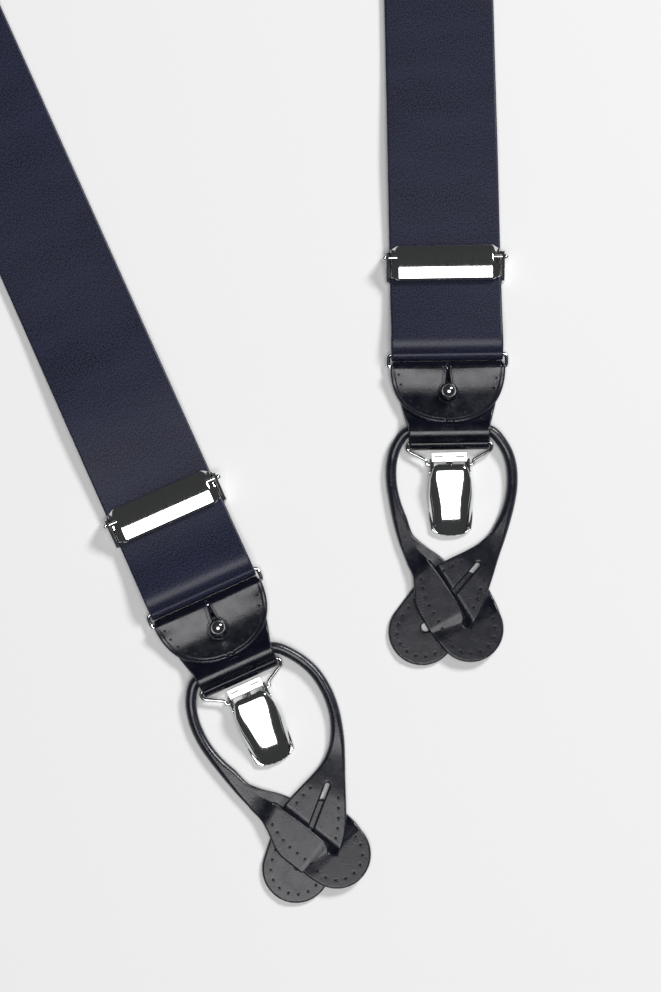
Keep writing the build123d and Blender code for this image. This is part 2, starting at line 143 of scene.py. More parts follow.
def rounded_line(points, radius, closed=False):
    """A polyline with each corner cut back by radius and turned through a parabola."""
    p = np.array(points, float)
    before, after = np.roll(p, 1, 0), np.roll(p, -1, 0)
    back, on = (np.linalg.norm(side - p, axis=1) for side in (before, after))
    cut = np.minimum(radius, 0.45 * np.minimum(back, on))
    start = p + (before - p) / back[:, None] * cut[:, None]
    end = p + (after - p) / on[:, None] * cut[:, None]
    t = np.linspace(0, 1, 9)[None, :, None]
    turns = start[:, None] * (1 - t) ** 2 + 2 * p[:, None] * t * (1 - t) + end[:, None] * t ** 2
    if closed:
        return np.vstack([turns.reshape(-1, 3), turns[0, :1]])
    return np.vstack([p[:1], turns[1:-1].reshape(-1, 3), p[-1:]])


def run_along(line):
    """Distance from the start to each point of a line."""
    return np.concatenate([[0], np.cumsum(np.linalg.norm(np.diff(line, axis=0), axis=1))])


def follow(line, run):
    """Places on a line at distances run, and the unit direction there."""
    along = run_along(line)
    place = np.stack([np.interp(run, along, line[:, k]) for k in range(line.shape[1])], 1)
    fine = np.linspace(0, along[-1], len(line) * 2)
    dense = np.stack([np.interp(fine, along, line[:, k]) for k in range(line.shape[1])], 1)
    slope = np.gradient(dense, fine, axis=0)
    direction = np.stack([np.interp(run, fine, slope[:, k]) for k in range(line.shape[1])], 1)
    return place, direction / np.linalg.norm(direction, axis=1, keepdims=True)


def spaced(*parts):
    """Rows for a sheet: (from, to, step) parts joined, with finer rows where a part says so."""
    rows = [np.linspace(a, b, max(2, int(round(abs(b - a) / step)) + 1)) for a, b, step in parts]
    return np.unique(np.round(np.concatenate(rows), 5))


def tip_rows(length, step):
    """Rows from 0 to length that crowd together at 0: length * (1 - cos) over a quarter turn."""
    count = int(length / step) + 6
    return length * (1 - np.cos(np.linspace(0, pi / 2, count)))


# ---- placing ---------------------------------------------------------------------------------------
def joint(name):
    """The record's joint of that name."""
    return next(j for j in frame["joints"] if j["name"] == name)


def end_place(end):
    """Origin and the across and along directions of an end's frame, from its ring hinge."""
    hinge = joint(end + "_ring_swing")
    across = -np.array(hinge["axis"])
    along = np.cross(UP, across)
    origin = np.array(hinge["pos_m"]) - along * RING_UPPER_Y * MM
    return origin * (1, 1, 0), across, along


def to_world(points, end):
    """Millimetres in an end's frame to metres in the shared frame."""
    origin, across, along = end_place(end)
    p = np.asarray(points) * MM
    return origin + p[..., :1] * across + p[..., 1:2] * along + p[..., 2:] * UP


# ---- mesh making -----------------------------------------------------------------------------------
def finished_mesh(name, vertices, faces, marks):
    """A closed, smooth mesh: doubles merged, slivers removed, flat coordinates kept as the UV map."""
    mesh = bpy.data.meshes.new(name)
    mesh.from_pydata(vertices.tolist(), [], faces.tolist())
    for mark, values in marks.items():
        kind = "FLOAT_VECTOR" if values.ndim == 2 else "FLOAT"
        layer = mesh.attributes.new(mark, kind, "POINT")
        layer.data.foreach_set("vector" if values.ndim == 2 else "value", values.astype(np.float32).ravel())
    work = bmesh.new()
    work.from_mesh(mesh)
    bmesh.ops.remove_doubles(work, verts=work.verts, dist=2e-6)
    bmesh.ops.dissolve_degenerate(work, edges=work.edges, dist=1e-6)
    # the two halves of a slit sheet leave a small diamond open at each end of the slit
    bmesh.ops.holes_fill(work, edges=[edge for edge in work.edges if edge.is_boundary], sides=4)
    bmesh.ops.recalc_face_normals(work, faces=work.faces)
    work.to_mesh(mesh)
    work.free()
    mesh.shade_smooth()
    if "flat" in mesh.attributes:
        flat = np.zeros(len(mesh.vertices) * 3, np.float32)
        mesh.attributes["flat"].data.foreach_get("vector", flat)
        corners = np.zeros(len(mesh.loops), np.int32)
        mesh.loops.foreach_get("vertex_index", corners)
        layer = mesh.uv_layers.new(name="flat_mm")
        layer.data.foreach_set("uv", flat.reshape(-1, 3)[corners, :2].ravel())
        mesh.attributes.remove(mesh.attributes["flat"])
    piece = bpy.data.objects.new(name, mesh)
    bpy.context.scene.collection.objects.link(piece)
    return piece


def grid_faces(index, closed=False):
    """Quads between neighbouring rows and columns of a grid of vertex numbers."""
    if closed:
        index = np.hstack([index, index[:, :1]])
    return np.stack([index[:-1, :-1], index[:-1, 1:], index[1:, 1:], index[1:, :-1]], -1).reshape(-1, 4)


def edge_distance(run, sides, outline, reach):
    """Distance from each (run, side) to the nearest outline point, no more than reach."""
    far = np.full(sides.shape, float(reach))
    for rows in np.array_split(np.arange(len(run)), max(1, len(run) // 8)):
        near = outline[(outline[:, 0] > run[rows[0]] - reach) & (outline[:, 0] < run[rows[-1]] + reach)]
        if len(near):
            across = sides[rows][..., None] - near[:, 1]
            away = np.hypot(run[rows][:, None, None] - near[:, 0], across)
            far[rows] = np.minimum(reach, away.min(-1))
    return far


def sheet_piece(name, end, line, run, low, high, thick, edge, power=2.3, gap=None, lift=None,
                dents=None, dent=(0.33, 0.05), groove=None, caps=(False, False), columns=56, normal=None):
    """A sheet with rounded edges that follows a line, in an end's frame or, with no end, in the shared one.

    A point (s, u) sits at line(s) + u * across(s) + lift(s, u). The two skins stand off it by
    thick * (1 - (1 - d/edge)^power)^(1/power), where d is the distance in the flat pattern from the
    outline, no more than edge. Dents and the groove are Gaussians taken off the upper skin.
    """
    place, along = follow(np.array(line, float), run)
    up = np.broadcast_to(UP, place.shape) if normal is None else normal(run, along)
    across = np.cross(along, up)
    across /= np.linalg.norm(across, axis=1, keepdims=True)
    up = np.cross(across, along)
    count = len(run)
    low, high, thick, edge = (np.broadcast_to(value, count).astype(float)
                              for value in (low, high, thick, edge))
    opening = np.zeros(count) if gap is None else np.broadcast_to(gap, count).astype(float)
    fine = np.arange(run[0], run[-1], 0.06)
    border = [(fine, np.interp(fine, run, low)), (fine, np.interp(fine, run, high))]
    cut = np.interp(fine, run, opening)
    border += [(fine[cut > 0.01], side * cut[cut > 0.01]) for side in (-1, 1)]
    for k, capped in zip((0, -1), caps):
        if not capped:
            width = np.arange(low[k], high[k] + 0.05, 0.06)
            border.append((np.full(len(width), run[k]), width))
    outline = np.hstack([np.array(pair) for pair in border]).T
    bunch = 0.5 - 0.5 * np.cos(pi * np.linspace(0, 1, columns))
    vertices, faces, flats, rims, holes, start = [], [], [], [], [], 0
    for inner, outer in ((low, -opening), (opening, high)):
        sides = inner[:, None] + (outer - inner)[:, None] * bunch
        far = edge_distance(run, sides, outline, 3.2)
        for k, capped in zip((0, -1), caps):
            if not capped:
                far[k] = 0
        outer_edge, slit_edge = (0, -1) if inner is low else (-1, 0)
        far[:, outer_edge] = 0
        far[opening > 0.01, slit_edge] = 0
        share = np.minimum(far / edge[:, None], 1)
        skin = thick[:, None] * (1 - (1 - share) ** power) ** (1 / power)
        rise = skin.copy()
        if groove is not None:
            rise -= np.minimum(groove[1] * np.exp(-((far - groove[0]) / groove[2]) ** 2), 0.6 * skin)
        hole = np.zeros(sides.shape)
        if dents is not None:
            away = (run[:, None, None] - dents[:, 0]) ** 2 + (sides[..., None] - dents[:, 1]) ** 2
            hole = np.exp(-away / dent[0] ** 2).max(-1)
            rise -= np.minimum(dent[1] * hole, 1.2 * skin)
        middle = place[:, None] + sides[..., None] * across[:, None]
        if lift is not None:
            middle = middle + lift(run[:, None], sides, middle)[..., None] * up[:, None]
        flat = np.stack([sides, np.broadcast_to(run[:, None], sides.shape), 0 * sides], -1)
        for shift, flip in ((rise, False), (-skin, True)):
            index = start + np.arange(sides.size).reshape(sides.shape)
            quads = grid_faces(index)
            faces.append(quads if flip else quads[:, ::-1])
            vertices.append((middle + shift[..., None] * up[:, None]).reshape(-1, 3))
            flats.append(flat.reshape(-1, 3))
            rims.append((1 - ease(far, 0.25 * edge[:, None], 0.95 * edge[:, None])).ravel())
            # weight of each needle mark on the upper skin, which the leather paints near black: the thread's
            # colour and painted shade in the hole
            holes.append((hole if not flip else 0 * hole).ravel())
            start += sides.size
        for k, capped in zip((0, -1), caps):
            if capped:
                upper = start - 2 * sides.size + np.arange(sides.size).reshape(sides.shape)[k]
                wall = grid_faces(np.stack([upper, upper + sides.size]))
                faces.append(wall if k == 0 else wall[:, ::-1])
    points = np.vstack(vertices)
    points = points * MM if end is None else to_world(points, end)
    marks = {"flat": np.vstack(flats) * MM, "rim": np.concatenate(rims), "hole": np.concatenate(holes)}
    return finished_mesh(name, points, np.vstack(faces), marks)


def wire_piece(name, end, line, radius, closed=False, sides=20):
    """A round wire: the circle r (cos a, sin a) carried along a line, its open ends drawn to half balls."""
    line = np.array(line, float)
    length = run_along(line)[-1]
    if closed:
        run = np.linspace(0, length, int(length / 0.25) + 2)
    else:
        ball = radius * (1 - np.cos(np.linspace(0, pi / 2, 7)))
        middle = np.arange(radius + 0.2, length - radius - 0.1, 0.25)
        run = np.concatenate([ball, middle, length - ball[::-1]])
    place, along = follow(line, run)
    if closed:
        along[0] = along[-1] = along[0] + along[-1]
        along /= np.linalg.norm(along, axis=1, keepdims=True)
    end_gap = np.minimum(run, length - run)
    girth = np.full(len(run), radius)
    if not closed:
        girth = np.sqrt(np.maximum(0, radius ** 2 - np.maximum(0, radius - end_gap) ** 2))
    side = np.cross(along, UP)
    side /= np.linalg.norm(side, axis=1, keepdims=True)
    top = np.cross(side, along)
    turn = np.linspace(0, 2 * pi, sides, endpoint=False)
    ring = np.cos(turn)[None, :, None] * side[:, None] + np.sin(turn)[None, :, None] * top[:, None]
    points = place[:, None] + girth[:, None, None] * ring
    index = np.arange(len(run) * sides).reshape(len(run), sides)
    return finished_mesh(name, to_world(points.reshape(-1, 3), end), grid_faces(index, True)[:, ::-1], {})


def turned_piece(name, end, profile, centre, sides=56):
    """A lathe shape: profile points (radius, height) turned about the upright through centre."""
    radius, height = np.array(profile, float).T
    turn = np.linspace(0, 2 * pi, sides, endpoint=False)
    rings = np.stack([radius[:, None] * np.cos(turn), radius[:, None] * np.sin(turn),
                      np.broadcast_to(height[:, None], (len(radius), sides))], -1)
    index = np.arange(len(radius) * sides).reshape(len(radius), sides)
    points = (rings + np.array(centre)).reshape(-1, 3)
    return finished_mesh(name, to_world(points, end), grid_faces(index, True), {})


# ---- materials -------------------------------------------------------------------------------------
def add(tree, kind, inputs=None, **settings):
    """Add one node: settings are its own properties, inputs its socket values or the sockets they link to."""
    node = tree.nodes.new(kind)
    for key, value in settings.items():
        setattr(node, key, value)
    for key, value in (inputs or {}).items():
        if isinstance(value, bpy.types.NodeSocket):
            tree.links.new(value, node.inputs[key])
        else:
            node.inputs[key].default_value = value
    return node


def new_material(name, **constants):
    """A material with one Principled shader, its constant sockets set by name."""
    material = bpy.data.materials.new(name)
    material.use_nodes = True
    shader = material.node_tree.nodes["Principled BSDF"]
    for key, value in constants.items():
        shader.inputs[key.replace("_", " ")].default_value = value
    return material, material.node_tree, shader


def satin_weave(colour, light):
    """Polyester satin ribbon, warp faced: long floats give a soft sheen and a fine uneven grain."""
    material, tree, shader = new_material(
        "navy_polyester_satin_woven", Roughness=0.34, Sheen_Weight=0.02, Sheen_Roughness=0.4,
        Specular_IOR_Level=0.24)
    shader.inputs["Sheen Tint"].default_value = linear("#8c90ad")
    cloth = add(tree, "ShaderNodeUVMap", uv_map="flat_mm")
    # floats 0.5 mm long and 0.33 mm apart, drawn a little coarse so that they show
    warp = add(tree, "ShaderNodeMapping", {"Vector": cloth.outputs["UV"], "Scale": (3300.0, 2200.0, 1.0)})
    floats = add(tree, "ShaderNodeTexNoise", {"Vector": warp.outputs["Vector"], "Scale": 0.9, "Detail": 2.0,
                                             "Roughness": 0.6})
    wide = add(tree, "ShaderNodeMapping", {"Vector": cloth.outputs["UV"], "Scale": (30.0, 90.0, 1.0)})
    bands = add(tree, "ShaderNodeTexNoise", {"Vector": wide.outputs["Vector"], "Scale": 1.0, "Detail": 2.0})
    speck = add(tree, "ShaderNodeMapRange", {"Value": floats.outputs["Fac"], "From Min": 0.43,
                                            "From Max": 0.57})
    slow = add(tree, "ShaderNodeMapRange", {"Value": bands.outputs["Fac"], "From Min": 0.3, "From Max": 0.7,
                                           "To Min": 0.0, "To Max": 0.25})
    share = add(tree, "ShaderNodeMath", {0: speck.outputs["Result"], 1: slow.outputs["Result"]},
                operation="ADD")
    tint = add(tree, "ShaderNodeMix", {0: share.outputs["Value"], 6: colour, 7: light}, data_type="RGBA")
    tree.links.new(tint.outputs[2], shader.inputs["Base Color"])
    bump = add(tree, "ShaderNodeBump", {"Height": floats.outputs["Fac"], "Strength": 0.4,
                                       "Distance": 0.00007})
    tree.links.new(bump.outputs["Normal"], shader.inputs["Normal"])
    return material


def calf_leather(name, colour, edge_colour, gloss):
    """Aniline calf leather, smooth finished: fine pebble grain, polished face, painted dark cut edges."""
    material, tree, shader = new_material(name, Coat_Weight=0.05, Coat_Roughness=0.15,
                                          Specular_IOR_Level=0.42)
    flat = add(tree, "ShaderNodeUVMap", uv_map="flat_mm")
    # pebbles 0.33 mm across with 4 mm slow unevenness of the hide
    pebble = add(tree, "ShaderNodeTexVoronoi", {"Vector": flat.outputs["UV"], "Scale": 3000.0},
                 feature="SMOOTH_F1")
    hide = add(tree, "ShaderNodeTexNoise", {"Vector": flat.outputs["UV"], "Scale": 240.0, "Detail": 5.0,
                                           "Roughness": 0.6})
    tone = add(tree, "ShaderNodeMapRange", {"Value": hide.outputs["Fac"], "From Min": 0.3, "From Max": 0.7,
                                           "To Min": 0.75, "To Max": 1.3})
    face = add(tree, "ShaderNodeMix", {0: 1.0, 6: colour, 7: tone.outputs["Result"]}, data_type="RGBA",
               blend_type="MULTIPLY")
    rim = add(tree, "ShaderNodeAttribute", attribute_name="rim")
    edge = add(tree, "ShaderNodeMix", {0: rim.outputs["Fac"], 6: face.outputs[2], 7: edge_colour},
               data_type="RGBA")
    # needle marks painted near black and fully rough: partly the dark thread that sits in them, partly painted
    # shade in the holes
    hole = add(tree, "ShaderNodeAttribute", attribute_name="hole")
    dark = add(tree, "ShaderNodeMapRange", {"Value": hole.outputs["Fac"], "From Min": 0.2, "From Max": 0.5})
    thread_and_painted_hole_shade = add(tree, "ShaderNodeMix", {0: dark.outputs["Result"], 6: edge.outputs[2],
                                          7: (0.001, 0.001, 0.002, 1)}, data_type="RGBA")
    tree.links.new(thread_and_painted_hole_shade.outputs[2], shader.inputs["Base Color"])
    polish = add(tree, "ShaderNodeMapRange", {"Value": hide.outputs["Fac"], "From Min": 0.3, "From Max": 0.7,
                                             "To Min": gloss - 0.05, "To Max": gloss + 0.08})
    dull = add(tree, "ShaderNodeMix", {0: dark.outputs["Result"], 2: polish.outputs["Result"], 3: 1.0})
    tree.links.new(dull.outputs[0], shader.inputs["Roughness"])
    grain = add(tree, "ShaderNodeBump", {"Height": pebble.outputs["Distance"], "Strength": 0.3,
                                        "Distance": 0.00008})
    waves = add(tree, "ShaderNodeBump", {"Height": hide.outputs["Fac"], "Strength": 0.12, "Distance": 0.0002,
                                        "Normal": grain.outputs["Normal"]})
    tree.links.new(waves.outputs["Normal"], shader.inputs["Normal"])
    return material


def chrome_plate(name, colour, roughness):
    """Steel, bright nickel and chrome plated: a mirror with faint polishing haze and fine handling marks."""
    material, tree, shader = new_material(name, Metallic=1.0)
    shader.inputs["Base Color"].default_value = colour
    place = add(tree, "ShaderNodeTexCoord")
    # polishing lines 0.2 mm apart run up the part, too shallow to feel
    lines = add(tree, "ShaderNodeMapping", {"Vector": place.outputs["Object"],
                                            "Scale": (5000.0, 350.0, 900.0)})
    marks = add(tree, "ShaderNodeTexNoise", {"Vector": lines.outputs["Vector"], "Scale": 1.0, "Detail": 2.0})
    haze = add(tree, "ShaderNodeMapRange", {"Value": marks.outputs["Fac"], "From Min": 0.3, "From Max": 0.75,
                                           "To Min": roughness, "To Max": roughness + 0.09})
    tree.links.new(haze.outputs["Result"], shader.inputs["Roughness"])
    bump = add(tree, "ShaderNodeBump", {"Height": marks.outputs["Fac"], "Strength": 0.03,
                                       "Distance": 0.00002})
    tree.links.new(bump.outputs["Normal"], shader.inputs["Normal"])
    return material


def moulded_rubber():
    """Nitrile rubber, moulded: matt, near black, with a fine spark-eroded texture."""
    material, tree, shader = new_material("nitrile_rubber_moulded", Roughness=0.75)
    shader.inputs["Base Color"].default_value = linear("#1d1d1f")
    place = add(tree, "ShaderNodeTexCoord")
    # texture grain 0.15 mm
    grain = add(tree, "ShaderNodeTexNoise", {"Vector": place.outputs["Object"], "Scale": 6500.0,
                                            "Detail": 1.0})
    bump = add(tree, "ShaderNodeBump", {"Height": grain.outputs["Fac"], "Strength": 0.3, "Distance": 0.00005})
    tree.links.new(bump.outputs["Normal"], shader.inputs["Normal"])
    return material


def waxed_thread():
    """Bonded polyester thread, waxed: dark, slightly glossy, twisted."""
    material, tree, shader = new_material("polyester_thread_waxed", Roughness=0.5)
    place = add(tree, "ShaderNodeTexCoord")
    twist = add(tree, "ShaderNodeTexNoise", {"Vector": place.outputs["Object"], "Scale": 3000.0})
    tint = add(tree, "ShaderNodeMix", {0: twist.outputs["Fac"], 6: linear("#15161e"), 7: linear("#3a3d50")},
               data_type="RGBA")
    tree.links.new(tint.outputs[2], shader.inputs["Base Color"])
    return material


def painted_board(colour):
    """Matt painted studio board: even and pale, with a barely visible roller texture."""
    material, tree, shader = new_material("studio_board_painted", Roughness=0.9)
    shader.inputs["Specular IOR Level"].default_value = 0.1
    place = add(tree, "ShaderNodeTexCoord")
    roller = add(tree, "ShaderNodeTexNoise", {"Vector": place.outputs["Object"], "Scale": 400.0})
    shader.inputs["Base Color"].default_value = colour
    bump = add(tree, "ShaderNodeBump", {"Height": roller.outputs["Fac"], "Strength": 0.02,
                                       "Distance": 0.0001})
    tree.links.new(bump.outputs["Normal"], shader.inputs["Normal"])
    return material


FINISHES = {}


def finish_of(name):
    """A material made once and then shared."""
    colours = bpy.context.scene.suspender_colours
    if name not in FINISHES:
        makers = {
            "satin": lambda: satin_weave((*colours.satin_dark, 1), (*colours.satin_light, 1)),
            "leather": lambda: calf_leather("navy_calf_leather_polished", (*colours.leather, 1),
                                            (*colours.leather_edge, 1), 0.24),
            "chrome": lambda: chrome_plate("steel_chrome_plated_polished", (*colours.chrome, 1), 0.05),
            "dark_chrome": lambda: chrome_plate("steel_chrome_plated_ball", linear("#b4b6ba"), 0.09),
            "rubber": moulded_rubber,
            "thread": waxed_thread,
        }
        FINISHES[name] = makers[name]()
    return FINISHES[name]


def dress(piece, finish):
    """Give a piece its material."""
    piece.data.materials.clear()
    piece.data.materials.append(finish_of(finish))
    return piece


# ---- straps ----------------------------------------------------------------------------------------
def strap_plan(end):
    """The strap's middle line in plan, in its end's frame, and its length from the ring."""
    if end != "right":
        length = LEFT_STRAP_LENGTH if end == "left" else REAR_STRAP_LENGTH
        return np.array([(0, 0, 0), (0, length, 0)], float), length
    turn = radians(RIGHT_BEND_DEGREES)
    angle = np.linspace(0, turn, 60)
    bend = np.stack([RIGHT_BEND_RADIUS * (np.cos(angle) - 1),
                     RIGHT_STRAIGHT + RIGHT_BEND_RADIUS * np.sin(angle), 0 * angle], 1)
    last = RIGHT_STRAP_LENGTH - RIGHT_STRAIGHT - turn * RIGHT_BEND_RADIUS
    finish = bend[-1] + last * np.array((-sin(turn), cos(turn), 0))
    return np.vstack([[(0, 0, 0)], bend, [finish]]), RIGHT_STRAP_LENGTH


STRAP_LEVELS = ((RING_UPPER_Y, 3.82), (24, 3.5), (36, 2.75), (66, 3.45), (104, 2.25), (9999, 2.25))
REAR_STRAP_LEVELS = ((RING_UPPER_Y, 3.82), (19, 3.45), (33, 2.25), (9999, 2.25))
STRAP_BACK_REACH = 8.5
BULGE = 2.6
STRAIGHT_RUN = 40


def strap_line(end, levels):
    """The strap's middle line: up from behind, round the ring's upper bar and along its plan line.

    The turn is a half circle of radius fold about the bar. The front leg's height is an eased line plus
    the bulge of cloth pushed up beside the bar, BULGE * (1 - exp(-t / 2.2)) * exp(-(t / 11)^2).
    """
    fold = levels[0][1] - RING_Z
    plan, length = strap_plan(end)
    turn = np.linspace(-pi / 2, -3 * pi / 2, 24)
    bend = np.stack([0 * turn, RING_UPPER_Y + fold * np.cos(turn), RING_Z + fold * np.sin(turn)], 1)
    start = [(0, STRAP_BACK_REACH, RING_Z - fold)]
    reach = np.concatenate([np.arange(RING_UPPER_Y + 0.5, 120, 0.5), np.arange(120, length, 2.0), [length]])
    place = follow(plan, reach)[0]
    past = reach - RING_UPPER_Y
    bulge = BULGE * (1 - np.exp(-past / 2.2)) * np.exp(-(past / 11) ** 2)
    place[:, 2] = eased_steps(reach, levels) + bulge
    return np.vstack([start, bend, place])


def strap_normal(run, along):
    """Outward face of a strap: its direction of travel turned up by 90 degrees.

    Its straight run turns round the ring in the end's own y and z; past it, the heading is the plan's.
    """
    level = along * (1, 1, 0)
    heading = level / np.maximum(np.linalg.norm(level, axis=1), 1e-9)[:, None]
    heading[run < STRAIGHT_RUN] = (0, 1, 0)
    return np.hstack([-along[:, 2:] * heading[:, :2], (along * heading).sum(1)[:, None]])


class SUSPENDERS_OT_straps(bpy.types.Operator):
    """Make the satin straps: each one turned round its ring and run into the back patch"""
    bl_idname = "suspenders.straps"
    bl_label = "Straps"

    def execute(self, context):
        for end in FRONTS:
            strap, total = self.satin_strap(end, STRAP_LEVELS, 130, 0.1)
            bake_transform(strap)
            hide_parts(end + "_strap", end + "_strap_loop")
            line = smooth_line([(0, 16.9, 1.1), (0, 19.0, 0.95), (0, 25.6, 0.95), (0, 27.2, 0.9)])
            run = spaced((0, run_along(line)[-1], 0.5))
            tail = self.satin(end + "_satin_tail", end, line, run, 0.45)
            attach(tail, end + "_adjuster")
            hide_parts(end + "_strap_tail")
        strap, total = self.satin_strap("rear", REAR_STRAP_LEVELS, 60, 0.0)
        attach(strap, "root")
        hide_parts("rear_strap")
        return {"FINISHED"}

    def width(self):
        """Width of the ribbon in metres."""
        return 2 * (bpy.context.scene.suspender_sizes.strap_width / MM / 2) * MM

    def satin(self, name, end, line, run, thick, lift=None, normal=None):
        """A length of ribbon that follows a line, thick being half its thickness."""
        half = bpy.context.scene.suspender_sizes.strap_width / MM / 2
        piece = sheet_piece(name, end, line, run, -half, half, thick, SATIN_EDGE, power=2.0, lift=lift,
                            normal=normal, columns=26)
        return dress(piece, "satin")

    def satin_strap(self, end, levels, fine, waver):
        """A whole strap and its length: rows close together up to fine, and a slow waver of the cloth."""
        line = strap_line(end, levels)
        total = run_along(line)[-1]
        run = spaced((0, 12, 0.4), (12, fine, 1.0), (fine, total, 2.2))

        def height(s, u, middle):
            """Waver times sin(s / 21 + u / 9), fading out at both ends."""
            return waver * np.sin(s / 21.0 + u / 9.0) * ease(s, 8, 40) * ease(total - s, 0, 60)

        thick = bpy.context.scene.suspender_sizes.strap_thickness / MM / 2
        return self.satin(end + "_satin_strap", end, line, run, thick, height, strap_normal), total


# ---- leather ends ----------------------------------------------------------------------------------
def even_marks(run, side, first=1.5):
    """Places (run, side) every MARK_PITCH along a line drawn in the flat pattern."""
    line = np.stack([run, side], 1)
    length = run_along(line)[-1]
    return follow(line, np.arange(first, length - first * 0.6, MARK_PITCH))[0]


def flap_line():
    """Half turn over the ring's lower bar, a fall to the stud and a slow rise to the flap's lower edge."""
    turn = np.linspace(-pi / 2, pi / 2, 24)
    swell = np.linspace(0, 1.0, 24) ** 2
    bend = np.stack([0 * turn, RING_LOWER_Y - 0.35 * swell + (FOLD_MIDDLE + 0.25 * swell) * np.cos(turn),
                     RING_Z + (FOLD_MIDDLE + 0.95 * swell) * np.sin(turn)], 1)
    front = smooth_line([(0, -2.8, 4.6), (0, -4.4, 4.42), (0, -6.5, 4.08), (0, -9.0, 3.72), (0, -11.5, 3.6),
                         (0, -14.5, 3.8), (0, -17.5, 4.1), (0, -20.1, 4.4)])
    return np.vstack([bend, front[6:]])


def fold_normal(run, along):
    """The outer face of leather that turns over the bar: the direction of travel turned up by 90 degrees."""
    return np.stack([0 * run, along[:, 2], -along[:, 1]], 1)


FLAP_HALF = 18.0
FLAP_TOP = -2.5
FLAP_FALL = 17.6
FLAP_POWER = 2.2
FLAP_TURN = 5.4
FLAP_HOLE = 2.35
FLAP_HOLE_Y = -10.75
FLAP_INSET = 2.5


def flap_half(y, inset=0.0):
    """Half the flap's width at height y: half * (1 - t^p)^(1/p), t from its top to its lower edge."""
    t = np.clip((-y + FLAP_TOP) / (FLAP_FALL - inset), 0, 1)
    return (FLAP_HALF - inset) * (1 - t ** FLAP_POWER) ** (1 / FLAP_POWER)


def make_flap(end):
    """The D-shaped flap: a superellipse below the fold, slit from the fold down to the stud hole."""
    line = flap_line()
    total = run_along(line)[-1]
    run = np.concatenate([spaced((0, FLAP_TURN, 0.35), (FLAP_TURN, 9, 0.3), (9, 17, 0.22)),
                          total - tip_rows(total - 17.2, 0.28)[::-1]])
    y = follow(line, run)[0][:, 1]
    half = np.where(run < FLAP_TURN, 17.4 + 0.6 * ease(run, 3.5, FLAP_TURN), flap_half(y))
    half[-1] = 0.02
    hole = np.sqrt(np.maximum(0, FLAP_HOLE ** 2 - (y - FLAP_HOLE_Y) ** 2))
    slit = np.where((run > 4.0) & (y > FLAP_HOLE_Y), 0.12 + 0.5 * ease(-y, 2.0, 8.5), 0)
    seam = np.linspace(6.0, total, 400)
    side = flap_half(follow(line, seam)[0][:, 1], FLAP_INSET)
    seam, side = seam[side > 0], side[side > 0]
    marks = even_marks(np.concatenate([seam, seam[::-1]]), np.concatenate([side, -side[::-1]]))

    def swell(s, u, middle):
        """A low bump below the stud, and a crown that falls off as 0.0032 u^2."""
        y = middle[..., 1]
        bump = 0.22 * np.exp(-((y + 14.6) ** 2 + u ** 2) / 2.4)
        return bump - 0.0032 * u ** 2 * ease(-y, 1.5, 8.0)

    piece = sheet_piece(end + "_leather_flap", end, line, run, -half, half, LEATHER_HALF, LEATHER_EDGE,
                        gap=np.maximum(hole, slit), dents=marks, lift=swell, groove=GROOVE,
                        caps=(True, False), columns=58, normal=fold_normal)
    dress(piece, "leather")
    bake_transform(piece)
    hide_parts(end + "_flap")


def make_tab(end):
    """The tab: down behind, round the bail's bar, up over the loop's tunnel and under the flap."""
    turn = np.linspace(-pi / 2, -3 * pi / 2, 20)
    fold = np.stack([0 * turn, BAIL_Y + FOLD_MIDDLE * np.cos(turn), BAIL_Z + FOLD_MIDDLE * np.sin(turn)], 1)
    front = smooth_line([(0, BAIL_Y, 3.65), (0, -25.4, 4.2), (0, -24.4, 5.2), (0, -22.9, 5.68),
                         (0, -21.4, 5.2), (0, -20.2, 4.25), (0, -18.8, 3.2), (0, -16.8, 2.45),
                         (0, -14.0, 2.2), (0, -5.0, 2.2)])
    line = np.vstack([[(0, RING_LOWER_Y, 0.75), (0, -12.0, 0.75)], fold, front[1:]])
    total = run_along(line)[-1]
    run = spaced((0, 23, 1.0), (23, 41, 0.3), (41, total, 0.8))
    y = follow(line, run)[0][:, 1]
    half = np.interp(-y, (2.2, 3.0, 14.5, 21.0, 29.5), (17.4, 17.4, 14.6, 12.9, 12.2))
    in_front = run > 32
    marks = []
    for level in (-19.4, -24.6):
        at = run[in_front][np.argmin(np.abs(y[in_front] - level))]
        marks += [(at, side * 10.4) for side in (-1, 1)]
    piece = sheet_piece(end + "_leather_tab", end, line, run, -half, half, LEATHER_HALF, LEATHER_EDGE,
                        dents=np.array(marks), dent=(0.5, 0.4), groove=(1.05, 0.08, 0.22),
                        caps=(True, False), columns=44, normal=fold_normal)
    dress(piece, "leather")
    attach(piece, end + "_end")
    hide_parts(end + "_tab")


class SUSPENDERS_OT_leather(bpy.types.Operator):
    """Make the folded leather tabs and their D-shaped flaps"""
    bl_idname = "suspenders.leather"
    bl_label = "Leather ends"

    def execute(self, context):
        for end in ENDS:
            make_tab(end)
            make_flap(end)
        return {"FINISHED"}


